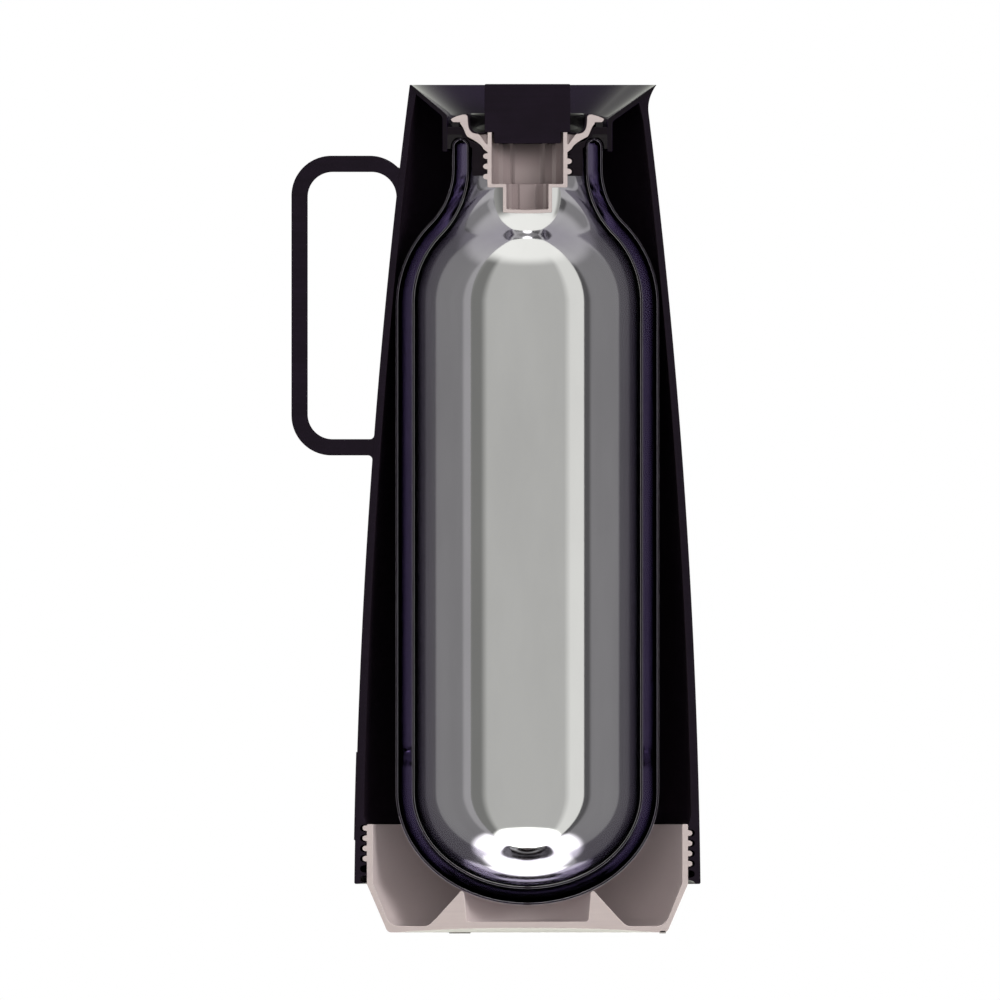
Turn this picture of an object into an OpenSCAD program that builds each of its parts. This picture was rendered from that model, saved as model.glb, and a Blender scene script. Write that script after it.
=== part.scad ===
// Vacuum jug shown in half section: every piece is cut at the plane y = 0 and its rear half is kept.
// The jug's axis is the Z axis and the floor is z = 0. The handle points to -X and the beak to +X.

/* [Outer shell] */
// Height of the rim above the floor
jug_h = 297; // [270:1:320]
// Radius of the shell at its foot edge
foot_r = 60.6; // [56:0.1:66]
// Radius of the shell at the rim
rim_r = 41.2; // [40:0.1:44]
// How far the side bulges out from a straight line between foot and rim
side_bulge = 4; // [1:0.1:6]
// Height of the foot edge above the floor
foot_z = 17.3; // [14.3:0.5:20.3]
// Wall thickness at the rim
wall_top = 2.2; // [1.6:0.1:3]
// Wall thickness at the foot
wall_foot = 3; // [2.2:0.1:4]
// Thickness of the threaded band at the foot
band_t = 4.1; // [3.9:0.1:6]
// Height of the threaded band
band_h = 21.5; // [20:0.5:26]
// Width of the thin edge that stands round the funnel
rim_edge = 0.6; // [0.4:0.1:1]

/* [Beak] */
// How far the beak reaches past the rim
beak_out = 3.95; // [2:0.05:6]
// Height over which the beak flares out of the shell
beak_h = 9.7; // [7:0.1:10.5]
// How much thinner the rim's edge gets in the beak's middle
beak_thin = 0.3; // [0:0.05:0.35]
// Angle from the beak's middle to where it fades into the rim
beak_angle = 30; // [20:1:45]
// How much lower the channel's inner end lies
beak_sink = 1.4; // [0:0.1:1.6]

/* [Badge plate] */
// Height of the plate's lower edge
badge_z = 32.7; // [30:0.1:60]
// Height of the plate
badge_h = 30.8; // [15:0.1:50]
// Angle from the plate's middle to its end
badge_angle = 12; // [6:1:20]
// Thickness of the plate
badge_t = 1; // [0.8:0.1:1.4]
// How far the plate stands out of the shell
badge_proud = 0.35; // [0.2:0.05:0.6]

/* [Handle] */
// Distance of the grip's outer face from the axis
handle_reach = 82.6; // [78:0.1:95]
// Depth of the handle's top face below the rim
handle_below = 24.8; // [22:0.1:40]
// Height of the handle
handle_h = 104.9; // [85:0.1:125]
// Thickness of the strap
strap_t = 5.7; // [4:0.1:8]
// Width of the whole strap across the cut
strap_w = 22; // [16:1:30]
// Radius of the strap's outer corners
handle_round = 14; // [10:0.5:18]
// Radius of the finger opening's corners
finger_round = 8.7; // [5:0.1:9.5]
// Radius where the lower arm meets the shell
root_fillet = 1.5; // [0.5:0.1:3]

/* [Pouring funnel] */
// Radius of the funnel's bore
bore_r = 28.1; // [27.5:0.1:29]
// Depth of the funnel's inner edge below the rim
funnel_depth = 10.5; // [9:0.1:11.5]
// Upright thickness of the funnel's wall
funnel_t = 1.7; // [1.2:0.1:2]
// Thickness of the skirt ring
skirt_t = 1.6; // [1:0.1:2.5]
// Depth of the skirt ring's lower end below the rim
skirt_depth = 23.3; // [20:0.1:26]

/* [Flask] */
// Radius of the outer vessel
flask_r = 46.1; // [43:0.1:47]
// Radius of the outer vessel's neck
neck_r = 26.3; // [26:0.1:26.5]
// Distance across both glass walls at the neck
double_wall = 5.8; // [5.2:0.1:6.2]
// The same across both walls of the body
body_wall = 6.5; // [5.8:0.1:7.2]
// Thickness of the glass at the neck
glass_t = 0.7; // [0.5:0.1:1]
// Depth of the flask's rim below the jug's rim
flask_below = 18.7; // [18:0.1:20]
// Height of the flask's lowest point above the floor
flask_z = 9.9; // [9:0.1:11]
// Height of the rounded bottom
bottom_h = 39.6; // [32:0.1:45]
// Radius of the shoulder's round
shoulder_round = 40.7; // [36:0.1:44]
// Radius of the hollow curve under the neck
neck_round = 27; // [22:0.5:32]
// Length of the straight neck with its rim
neck_h = 10.7; // [9:0.1:14]
// Diameter of the spacer pad between the vessels
pad_d = 7; // [5:0.5:10]
// Height of the spacer pad's middle above the floor
pad_z = 62; // [55:1:90]

/* [Neck collar and rim gasket] */
// Free width between the collar's sleeve and the flask's neck
sleeve_gap = 1.2; // [0.8:0.1:1.6]
// Depth of the sleeve's lower end below the flask's rim
sleeve_h = 13.2; // [12:0.1:16]
// Thickness of the gasket on the flask's rim
gasket_t = 1.3; // [1:0.1:1.4]
// Depth of the gasket's outer lip
gasket_lip_h = 5.1; // [4:0.1:5.2]
// Thickness of the gasket's outer lip
gasket_lip_t = 1.3; // [1:0.1:1.4]
// Thickness of the collar's flange
flange_t = 2.5; // [2.2:0.1:3]

/* [Stopper] */
// Outer radius of the threaded cup
cup_r = 14; // [13.5:0.1:14.3]
// Wall thickness of the cup
cup_wall = 1.5; // [1:0.1:1.8]
// Outer radius of the narrow lower cup
well_r = 8.6; // [7.6:0.1:11]
// Wall thickness of the narrow lower cup
well_wall = 1.3; // [0.9:0.1:1.8]
// Depth of the step between the two cups below the flask's rim
step_depth = 17.2; // [16.8:0.1:18.5]
// Height of the narrow lower cup
well_h = 8.8; // [6:0.1:12]
// Thickness of the step and of the cup's floor
cup_floor = 1.2; // [0.9:0.1:1.8]
// Height of the lip's crest above the flask's rim
lip_h = 8.4; // [8:0.1:9]
// Thickness of the gasket ring under the lip
seal_t = 1.7; // [1.2:0.1:2]
// Width of the gasket ring under the lip
seal_w = 2.6; // [2:0.1:3]

/* [Knob] */
// Radius of the knob
knob_r = 15; // [14:0.1:16]
// Height of the knob's top above the rim
knob_proud = 0.3; // [0:0.1:6]
// Radius of the plug under the knob
plug_r = 11.7; // [9:0.1:12]
// Length of the plug under the knob
plug_h = 3.9; // [2:0.1:6]
// Thickness of the dish that lines the lip
dish_t = 0.5; // [0.4:0.1:0.7]

/* [Screw base] */
// Height of the base's upper edge above the floor
base_top = 38.2; // [38:0.1:42]
// Wall thickness of the threaded wall
base_wall = 2; // [1.5:0.1:3]
// How much thicker the slanted wall is at its foot
base_wall_extra = 0.6; // [0:0.1:1.2]
// How far inside the shell's foot edge the base meets the floor
base_inset = 11; // [8.6:0.1:11.8]
// Width of the flat ring that faces the floor
tread_w = 4.2; // [3.4:0.1:6]
// Height of the hollow under the middle
arch_h = 1.55; // [0.8:0.05:2]
// Height of the trough's floor
trough_z = 2.5; // [2.2:0.1:3.4]
// Radius of the trough's outer round
trough_round = 5; // [3:0.1:7]
// Outer radius of the support ring's foot
ring_foot_r = 35; // [33:0.5:38]
// Radius of the support ring's top edge
ring_top_r = 23.2; // [22.6:0.1:26]
// Radius of the well inside the support ring, at its floor
base_well_r = 21.4; // [18:0.1:21.5]
// How much wider the well is at its top
base_well_draft = 0.8; // [0:0.1:1]
// Height of the well's floor
base_well_z = 4.1; // [3.6:0.1:5]

/* [Rubber feet] */
// Distance of a foot's middle from the base's outer edge
foot_inset = 2.2; // [1.6:0.1:2.6]
// Width of a foot along the radius
foot_w = 2.2; // [1.6:0.1:3]
// Angle from a foot's middle to its end
foot_angle = 4.6; // [3:0.1:8]
// Thickness of a foot
foot_t = 1; // [0.8:0.1:1.4]
// How far a foot stands below the base
foot_proud = 0.35; // [0.2:0.05:0.5]

/* [Threads] */
// Pitch of both threads
pitch = 3.57; // [3.4:0.01:3.7]
// Half the height of a tooth at its root
tooth_half = 1; // [0.9:0.01:1.1]
// Depth of a tooth
tooth_h = 1.5; // [1.2:0.1:1.6]
// Height of the base thread's first tooth, on the beak's side
base_thread_z = 24.4; // [22:0.1:25]
// Half turns of the base thread
base_half_turns = 7; // [5:1:7]
// Depth of the stopper thread's run-in below the flask's rim, on the beak's side
cup_thread_depth = 15.2; // [14.8:0.1:15.6]

/* [Fits] */
// Free width between a thread and its groove
thread_gap = 0.3; // [0.2:0.05:0.4]
// Free width between pieces that lift off each other
lift_gap = 0.3; // [0.2:0.05:0.35]
// Free height between the flask's rim and its gasket
rest_gap = 0.1; // [0.05:0.05:0.3]
// Free width between the stopper's lip and the funnel's bore
lip_gap = 0.6; // [0.3:0.1:0.9]
// Free width between the lip's hub and the gasket ring round it
ring_gap = 0.3; // [0.2:0.05:0.4]

/* [Hidden] */
$fn = 144;

cut_turn = 180;
past_cut = 10;
arc_n = 12;
black = "#1f171f";
gloss_black = "#141015";
mauve = "#c4b8b4";
silver = "#a9aaa4";

// Side of the shell: one arc from the foot edge to the rim.
chord = norm([foot_r - rim_r, jug_h - foot_z]);
side_round = chord * chord / (8 * side_bulge) + side_bulge / 2;
side_cx = (foot_r + rim_r) / 2 - (side_round - side_bulge) * (jug_h - foot_z) / chord;
side_cz = (foot_z + jug_h) / 2 - (side_round - side_bulge) * (foot_r - rim_r) / chord;

// Levels and radii that several pieces share.
flask_top = jug_h - flask_below;
rim_bead = double_wall / 2;
bead_z = flask_top - rim_bead;
bead_r = neck_r - rim_bead;
neck_in_r = neck_r - double_wall;
body_share = body_wall / double_wall;
curve_z = flask_top - neck_h;
bottom_z = flask_z + bottom_h;
band_bore_r = foot_r - band_t;
base_r = band_bore_r - thread_gap;
band_top = foot_z + band_h;
base_low = foot_proud;
base_foot_r = foot_r - base_inset;
pad_ring_r = base_foot_r - foot_inset;
beak_z = jug_h - beak_h;
groove_half = tooth_half + 1.2 * thread_gap;
tooth_shoulder = 0.55;
band_taper = 2.5;
root_reach = 6;
bury = 0.4;
sliver = 0.02;
edge = 0.4;
skirt_low = jug_h - skirt_depth;

// Collar, gaskets and stopper share these.
gasket_low = flask_top + rest_gap;
gasket_top = gasket_low + gasket_t;
flange_top = gasket_top + flange_t;
land_z = flange_top + seal_t;
gasket_in_r = bead_r - 0.7;
tip_r = bore_r - lip_gap;
seal_in_r = tip_r - 1 - seal_w;
sleeve_out_r = neck_in_r - sleeve_gap;
sleeve_low = flask_top - sleeve_h;
sleeve_bore_r = cup_r + thread_gap;
step_z = flask_top - step_depth;
cup_top = flask_top + 2.1;
cup_in_r = cup_r - cup_wall;
lip_top = flask_top + lip_h;
knob_top = jug_h + knob_proud;
cup_thread_z = flask_top - cup_thread_depth;

// Points of an arc, and points of a curve between p and q whose handles lie at shares f and g of the way.
function arc(cx, cz, r, from, to, n = arc_n) =
    [for (i = [0:n]) let (a = from + (to - from) * i / n) [cx + r * cos(a), cz + r * sin(a)]];
function share(p, q, f) = [p[0] + (q[0] - p[0]) * f[0], p[1] + (q[1] - p[1]) * f[1]];
function bend(p, q, f, g, n = arc_n) =
    let (u = share(p, q, f), v = share(p, q, g))
    [for (i = [0:n]) let (t = i / n, s = 1 - t)
        s * s * s * p + 3 * s * s * t * u + 3 * s * t * t * v + t * t * t * q];
function flipped(points) = [for (i = [len(points) - 1:-1:0]) points[i]];
function moved(points, d) = [for (p = points) p + d];

// The half that is kept: a section turned from the beak's side, over the rear, to the handle's side.
module half_turn() {
    rotate_extrude(angle = cut_turn) children();
}

// The same section turned a little past both ends, and the half that is cut away.
module past_turn() {
    rotate([0, 0, -past_cut]) rotate_extrude(angle = cut_turn + 2 * past_cut, start = 0) children();
}
module front() {
    translate([-jug_h, -jug_h, 0]) cube([2 * jug_h, jug_h, 2 * jug_h]);
}

// A solid through a row of sections that all have the same number of points.
module loft(rings) {
    n = len(rings[0]);
    last = len(rings) - 1;
    sides = [for (i = [0:last - 1], j = [0:n - 1]) let (k = (j + 1) % n)
        each [[i * n + j, i * n + k, (i + 1) * n + k], [i * n + j, (i + 1) * n + k, (i + 1) * n + j]]];
    first_cap = [for (j = [n - 1:-1:0]) j];
    last_cap = [for (j = [0:n - 1]) last * n + j];
    polyhedron(points = [for (ring = rings) each ring], faces = concat(sides, [first_cap, last_cap]));
}

// A section [r, z] placed at an angle round the axis.
function turned(section, a) = [for (p = section) [p[0] * cos(a), p[0] * sin(a), p[1]]];

// One right-hand thread, as the half turns of it that lie in the kept half.
// At turn 0 it is at the beak's side.
module thread(root, crest, half, z0, from, to) {
    steps = 36;
    tip = crest > root ? 1 : -1;
    shoulder = crest - tooth_shoulder * tip;
    section = [[root, -half], [shoulder, -0.8 * half], [crest, -0.3 * half],
        [crest, 0.3 * half], [shoulder, 0.8 * half], [root, half]];
    for (turn = [floor(from):ceil(to) - 1]) {
        low = max(from - turn, 0);
        high = min(to - turn, 0.5);
        if (high > low) {
            n = max(2, round(steps * (high - low) / 0.5));
            loft([for (i = [0:n]) let (t = low + (high - low) * i / n)
                turned(moved(section, [0, z0 + pitch * (turn + t)]), 360 * t)]);
        }
    }
}

// ---- Outer shell ----

function side_r(z) = side_cx + sqrt(side_round * side_round - (z - side_cz) * (z - side_cz));
function wall_at(z) = wall_foot + (wall_top - wall_foot) * (z - foot_z) / (jug_h - foot_z);
function side(from, to, n = 30) = [for (i = [0:n]) let (z = from + (to - from) * i / n) [side_r(z), z]];
function inside(from, to, n) = [for (p = side(from, to, n)) [p[0] - wall_at(p[1]), p[1]]];

// The beak's share at an angle from its middle: 1 in the middle, 0 where it fades out.
function beak_at(a) = a >= beak_angle ? 0 : pow(cos(90 * a / beak_angle), 2);
function flare_at(z) = pow(max(0, z - beak_z) / beak_h, 2);
function rim_out_r(a, z) = side_r(z) + beak_out * beak_at(a) * flare_at(z);
function funnel_edge(a) =
    let (low = jug_h - funnel_t * (1 + beak_at(a)), t = rim_edge - beak_thin * beak_at(a))
    [for (i = [0:3]) let (z = jug_h - (jug_h - low) * i / 3) [rim_out_r(a, z) - t, z]];
function funnel_in_z(a) = jug_h - funnel_depth - beak_sink * beak_at(a);
function funnel_slope(a) = (jug_h - funnel_in_z(a)) / (funnel_edge(a)[0][0] - bore_r);
function under_z(a, r) = funnel_edge(a)[3][1] - (funnel_edge(a)[3][0] - r) * funnel_slope(a);

// The flare that makes the beak, with its back buried in the wall, and the room that the funnel takes.
function flare_section(a) = concat(
    [for (p = side(beak_z, jug_h, 8)) [rim_out_r(a, p[1]) - sliver, p[1]]],
    [[rim_r - wall_top / 2, jug_h], [side_r(beak_z) - wall_top / 2, beak_z]]);
function seat_section(a, grow) =
    let (in_r = rim_r - wall_top - 1, rim = funnel_edge(a), above = jug_h + 1)
    concat(
        [[in_r, above], [in_r, under_z(a, in_r) - grow]],
        moved(flipped(rim), [grow, 0]),
        [[rim[0][0] + grow, above]]);

// The beak is shaped a little past the cut, and the cut is made last.
module outer_shell() {
    shoulder_z = band_top + band_taper;
    step = beak_angle / arc_n;
    color(black) difference() {
        union() {
            past_turn() polygon(concat(
                [[band_bore_r, foot_z], [foot_r - edge, foot_z]],
                side(foot_z + edge, jug_h),
                inside(jug_h, shoulder_z, 28),
                [[band_bore_r, band_top]]));
            loft([for (i = [-1:arc_n]) turned(flare_section(abs(i * step)), i * step)]);
        }
        past_turn() polygon(seat_section(beak_angle, sliver));
        loft([for (i = [-2:arc_n]) turned(seat_section(abs(i * step), 0), i * step)]);
        front();
        thread(band_bore_r - thread_gap - bury, base_r + tooth_h + thread_gap, groove_half,
            base_thread_z, -2.5, base_half_turns / 2 + 0.5);
        badge_blank();
    }
}

// ---- Badge plate ----

module badge_blank() {
    rotate_extrude(angle = badge_angle, start = cut_turn - badge_angle)
        polygon(concat(
            moved(side(badge_z, badge_z + badge_h, 4), [badge_proud, 0]),
            moved(flipped(side(badge_z, badge_z + badge_h, 4)), [badge_proud - badge_t, 0])));
}

module badge_plate() {
    color(black) badge_blank();
}

// ---- Handle ----

module rounded(x0, z0, x1, z1, r) {
    translate([x0 + r, z0]) square([x1 - x0 - 2 * r, z1 - z0]);
    translate([x0, z0 + r]) square([x1 - x0, z1 - z0 - 2 * r]);
    for (x = [x0 + r, x1 - r], z = [z0 + r, z1 - r]) translate([x, z]) circle(r);
}

// The corner between an arm and the shell: a square less a quarter round. It reaches into both.
module corner(x, z, r, up) {
    translate([x, z]) difference() {
        translate([0, up > 0 ? -bury : -r]) square([r + root_reach, r + bury]);
        translate([0, up > 0 ? r : -r]) circle(r);
    }
}

module handle_outline() {
    top = jug_h - handle_below;
    low = top - handle_h;
    in_x = strap_t - handle_reach;
    in_top = top - strap_t;
    in_low = low + strap_t;
    top_x = -side_r(in_top - finger_round) - finger_round;
    difference() {
        rounded(-handle_reach, low, -rim_r, top, handle_round);
        rounded(in_x, in_low, 0, in_top, finger_round);
    }
    corner(top_x, in_top, finger_round, -1);
    corner(-side_r(in_low + root_fillet) - root_fillet, in_low, root_fillet, 1);
    corner(-side_r(low - root_fillet) - root_fillet, low, root_fillet, -1);
}

module handle() {
    color(black) difference() {
        translate([0, strap_w / 2, 0]) rotate([90, 0, 0]) linear_extrude(strap_w / 2) handle_outline();
        half_turn() polygon(concat([[0, foot_z]], side(foot_z + edge, jug_h), [[0, jug_h]]));
    }
}

// ---- Pouring funnel ----

function funnel_section(a) =
    let (in_r = bore_r + sliver, skirt_out = bore_r + skirt_t)
    concat(
        [[in_r, skirt_low], [skirt_out, skirt_low], [skirt_out, under_z(a, skirt_out)]],
        flipped(funnel_edge(a)),
        [[in_r, funnel_in_z(a)]]);

module pouring_funnel() {
    rest_n = 60;
    beak_turns = [for (i = [0:arc_n]) beak_angle * i / arc_n];
    rest_turns = [for (i = [1:rest_n]) beak_angle + (cut_turn - beak_angle) * i / rest_n];
    color(gloss_black) loft([for (a = concat(beak_turns, rest_turns)) turned(funnel_section(a), a)]);
}

// ---- Stopper lip: its underside is shared with the collar below it ----

lip_t = 1;
skin = 0.1;
lip_foot = [cup_r + tooth_h, flask_top - 3.7];
lip_waist = [neck_in_r + skin, flask_top + skin];
lip_land = [seal_in_r - ring_gap - skin, land_z - 0.6 * lip_t];
lip_under = concat(
    bend(lip_foot, lip_waist, [0.16, 0.79], [0.72, 0.58]),
    bend(lip_waist, lip_land, [0.47, 0.41], [0.6, 0.86]));
lip_crest = [neck_in_r + 0.4, lip_top - lip_t];
lip_hollow = [knob_r + 2.4, cup_top - 0.5];
lip_inner = bend(lip_crest, lip_hollow, [-0.1, 0.6], [-0.5, 1]);

// ---- Neck collar ----

module neck_collar() {
    bead_gap = rim_bead + edge;
    seat_in_r = seal_in_r - ring_gap;
    entry_z = lip_foot[1] - lift_gap - 0.75 * tooth_h;
    under_lip = [for (p = flipped(moved(lip_under, [lift_gap, -lift_gap]))) if (p[1] < flange_top - skin) p];
    color(black) difference() {
        half_turn() polygon(concat(
            [[sleeve_bore_r, sleeve_low], [sleeve_out_r, sleeve_low], [sleeve_out_r, bead_z - 0.5]],
            arc(bead_r, bead_z, bead_gap, 180, 110),
            [[gasket_in_r, gasket_low], [gasket_in_r, gasket_top], [bore_r, gasket_top], [bore_r, flange_top],
                [seat_in_r, flange_top]],
            under_lip,
            [[sleeve_bore_r, entry_z]]));
        thread(sleeve_bore_r - thread_gap - bury, cup_r + tooth_h + thread_gap, groove_half,
            cup_thread_z, -0.5, 4);
    }
}

// ---- Rim gasket ----

module rim_gasket() {
    lip_in_r = bore_r - gasket_lip_t;
    lip_low = gasket_top - gasket_lip_h;
    color(gloss_black) half_turn() polygon(concat(
        [[gasket_in_r, gasket_low]],
        arc(bead_r, bead_z, lip_in_r - bead_r, 68, 0),
        [[lip_in_r, lip_low], [bore_r, lip_low], [bore_r, gasket_top], [gasket_in_r, gasket_top]]));
}

// ---- Flask ----

// One face of the flask, from the middle of its bottom to the top of its neck.
// The inset is how far it lies inside the outermost face at the neck; the body's is wider in step.
function flask_face(inset) =
    let (deep = inset * body_share, hub = flask_r - shoulder_round, curve = neck_r + neck_round,
        reach = shoulder_round - deep + neck_round + inset, across = curve - hub,
        rise = sqrt(reach * reach - across * across), turn = atan2(rise, across))
    concat(
        [for (i = [0:24]) let (a = -90 + 90 * i / 24)
            [(flask_r - deep) * cos(a), bottom_z + (bottom_h - deep) * sin(a)]],
        arc(hub, curve_z - rise, shoulder_round - deep, 0, turn),
        arc(curve, curve_z, neck_round + inset, 180 + turn, 180));

module outer_vessel() {
    color(silver) half_turn() polygon(concat(
        flask_face(0),
        arc(bead_r, bead_z, rim_bead, 0, 90),
        arc(bead_r, bead_z, rim_bead - glass_t, 90, 0),
        flipped(flask_face(glass_t))));
}

module inner_vessel() {
    color(silver) half_turn() polygon(concat(
        flask_face(double_wall - glass_t),
        arc(bead_r, bead_z, rim_bead - glass_t, 180, 90),
        arc(bead_r, bead_z, rim_bead, 90, 180),
        flipped(flask_face(double_wall))));
}

module spacer_pad() {
    pad_turn = 30;
    glass = glass_t * body_share;
    in_r = flask_r - body_wall + glass;
    out_r = flask_r - glass;
    color("white") intersection() {
        rotate_extrude(angle = pad_turn, start = (cut_turn - pad_turn) / 2)
            translate([in_r, pad_z - pad_d]) square([out_r - in_r, 2 * pad_d]);
        translate([0, 0, pad_z]) rotate([-90, 0, 0]) cylinder(d = pad_d, h = flask_r);
    }
}

// ---- Screw base ----

// Height of the flask's underside above the floor at a radius, with a free gap under it.
function flask_under(r, gap) =
    let (wide = flask_r + gap, deep = bottom_h + gap) bottom_z - deep * sqrt(1 - r * r / (wide * wide));
function arch_z(r, tread_in) = base_low + arch_h * (1 - pow(r / tread_in, 2.5));

module foot_ring(at, grow = 0) {
    from = max(0, at - foot_angle);
    in_r = pad_ring_r - foot_w / 2;
    rotate_extrude(angle = at + foot_angle - from, start = from)
        translate([in_r, -grow]) square([foot_w, foot_t + grow]);
}

module screw_base() {
    foot_edge = 1;
    well_edge = 1.2;
    tread_in = base_foot_r - tread_w;
    in_r = base_r - base_wall;
    ring_top_z = flask_under(ring_top_r, lift_gap);
    well_top_r = base_well_r + base_well_draft;
    well_top_z = flask_under(well_top_r, lift_gap);
    slant = (base_r - base_foot_r) / (foot_z - base_low);
    trough_mid_z = trough_z + trough_round;
    trough_r = base_foot_r - base_wall - base_wall_extra + slant * (trough_mid_z - base_low) - trough_round;
    color(mauve) difference() {
        union() {
            half_turn() polygon(concat(
                [[0, base_well_z], [0, base_low + arch_h]],
                [for (i = [1:8]) let (r = tread_in * i / 8) [r, arch_z(r, tread_in)]],
                arc(base_foot_r - foot_edge, base_low + foot_edge, foot_edge, -90, -20, 6),
                [[base_r, foot_z], [base_r, base_top - edge], [base_r - edge, base_top],
                    [in_r, base_top], [in_r, foot_z + edge]],
                arc(trough_r, trough_mid_z, trough_round, -15, -90),
                bend([ring_foot_r + 2, trough_z], [ring_foot_r - 3, trough_z + 2.7], [0.6, 0], [0.6, 0.4], 6),
                [[ring_top_r, ring_top_z], [well_top_r, well_top_z]],
                arc(base_well_r - well_edge, base_well_z + well_edge, well_edge, 0, -90, 6)));
            thread(base_r - bury, base_r + tooth_h, tooth_half, base_thread_z, 0, base_half_turns / 2);
        }
        for (at = [0, 120]) foot_ring(at, 1);
    }
}

// ---- Rubber feet ----

module foot_pad_right() {
    color(gloss_black) foot_ring(0);
}

module foot_pad_rear() {
    color(gloss_black) foot_ring(120);
}

// ---- Stopper ----

module stopper_cup() {
    groove = [lip_hollow[0] - 1.3, cup_top - 0.6];
    groove_in_r = cup_r - 0.3;
    groove_low = cup_top - 4.1;
    well_z = step_z - well_h;
    well_in_r = well_r - well_wall;
    bow = 0.3;
    rim = tip_r - 0.2;
    color(mauve) union() {
        half_turn() polygon(concat(
            [[0, well_z - bow], [well_r - edge, well_z], [well_r, well_z + edge],
                [well_r, step_z], [cup_r, step_z], [cup_r, lip_foot[1] - 1.2]],
            lip_under,
            [[seal_in_r - ring_gap, land_z], [tip_r - 0.9, land_z], [rim, land_z + 0.6],
                [tip_r, land_z + 1.1], [rim, land_z + 1.4], [lip_crest[0] + 4, lip_top - 0.7]],
            bend([lip_crest[0] + 1.6, lip_top - 0.05], lip_crest, [0.6, 0], [1, 0.4], 5),
            lip_inner,
            [groove, [groove_in_r, groove_low], [groove_in_r, cup_top], [cup_in_r, cup_top],
                [cup_in_r, step_z + cup_floor], [well_in_r, step_z + cup_floor],
                [well_in_r, well_z + cup_floor], [0, well_z + cup_floor - bow]]));
        thread(cup_r - bury, cup_r + tooth_h, tooth_half, cup_thread_z, 0.4, 2.5);
    }
}

module stopper_knob() {
    glue_gap = 0.05;
    plug_low = cup_top - plug_h;
    lining = moved(lip_inner, [-glue_gap, glue_gap]);
    face = moved(flipped(lining), [-dish_t, dish_t]);
    color(gloss_black) half_turn() polygon(concat(
        [[0, plug_low], [plug_r, plug_low], [plug_r, cup_top], [knob_r - edge / 2, cup_top]],
        [[knob_r, lining[arc_n][1]]],
        flipped(lining),
        flipped(face),
        [[knob_r, face[0][1]], [knob_r, knob_top - edge], [knob_r - edge, knob_top], [0, knob_top]]));
}

// ---- Stopper gasket ----

module stopper_gasket() {
    color(gloss_black) half_turn() translate([seal_in_r, flange_top]) square([seal_w, seal_t]);
}

outer_shell();
handle();
badge_plate();
pouring_funnel();
neck_collar();
rim_gasket();
outer_vessel();
inner_vessel();
spacer_pad();
screw_base();
foot_pad_right();
foot_pad_rear();
stopper_cup();
stopper_knob();
stopper_gasket();
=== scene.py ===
import bpy
import bmesh
from math import atan2, cos, hypot, pi, radians, sin, sqrt
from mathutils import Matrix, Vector


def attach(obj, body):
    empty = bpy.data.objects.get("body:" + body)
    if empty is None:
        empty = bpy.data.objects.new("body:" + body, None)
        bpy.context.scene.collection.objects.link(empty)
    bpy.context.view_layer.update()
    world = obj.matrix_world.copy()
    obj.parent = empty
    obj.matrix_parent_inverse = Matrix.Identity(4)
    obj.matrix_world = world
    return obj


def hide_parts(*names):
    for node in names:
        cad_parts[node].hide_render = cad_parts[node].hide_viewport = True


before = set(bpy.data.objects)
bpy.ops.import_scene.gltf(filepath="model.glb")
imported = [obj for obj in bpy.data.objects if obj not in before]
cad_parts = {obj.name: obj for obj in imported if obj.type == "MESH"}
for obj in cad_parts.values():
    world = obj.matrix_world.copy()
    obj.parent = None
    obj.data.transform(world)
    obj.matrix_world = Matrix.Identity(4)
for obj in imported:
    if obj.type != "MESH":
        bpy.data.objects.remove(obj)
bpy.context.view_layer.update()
scene = bpy.context.scene
mm = 0.001
onAxis = 0.01  # a point nearer the axis than this lies on it
print("frame loaded:", len(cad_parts), "nodes")


# Small helpers.

def toLinear(hexColour):
    channels = [int(hexColour[i:i + 2], 16) / 255 for i in (1, 3, 5)]
    return [c / 12.92 if c <= 0.04045 else ((c + 0.055) / 1.055) ** 2.4 for c in channels] + [1.0]


# Adds a node and sets or links its inputs. A kind in capitals is an operation of the Math node.
def addNode(tree, kind, inputs=(), **settings):
    if kind.isupper():
        kind, settings["operation"] = "ShaderNodeMath", kind
    node = tree.nodes.new(kind)
    for name, value in settings.items():
        setattr(node, name, value)
    for name, value in (inputs.items() if isinstance(inputs, dict) else enumerate(inputs)):
        if isinstance(value, bpy.types.Node):
            value = value.outputs[0]
        if isinstance(value, bpy.types.NodeSocket):
            tree.links.new(value, node.inputs[name])
        else:
            node.inputs[name].default_value = value
    return node


def newObject(name, data):
    obj = bpy.data.objects.new(name, data)
    scene.collection.objects.link(obj)
    return obj


def arc(cx, cz, r, start, end, n=12):
    return [(cx + r * cos(radians(start + (end - start) * i / n)),
             cz + r * sin(radians(start + (end - start) * i / n))) for i in range(n + 1)]


# A smooth curve from p to q. Its two handles lie at the shares f and g of the way, across and up.
def bend(p, q, f, g, n=12):
    handles = [[a + (b - a) * k for a, b, k in zip(p, q, way)] for way in (f, g)]
    points = []
    for i in range(n + 1):
        t = i / n
        weights = ((1 - t) ** 3, 3 * (1 - t) ** 2 * t, 3 * (1 - t) * t * t, t ** 3)
        points.append(tuple(sum(w * c[k] for w, c in zip(weights, (p, *handles, q))) for k in (0, 1)))
    return points


def moved(points, dr, dz):
    return [(r + dr, z + dz) for r, z in points]


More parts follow.
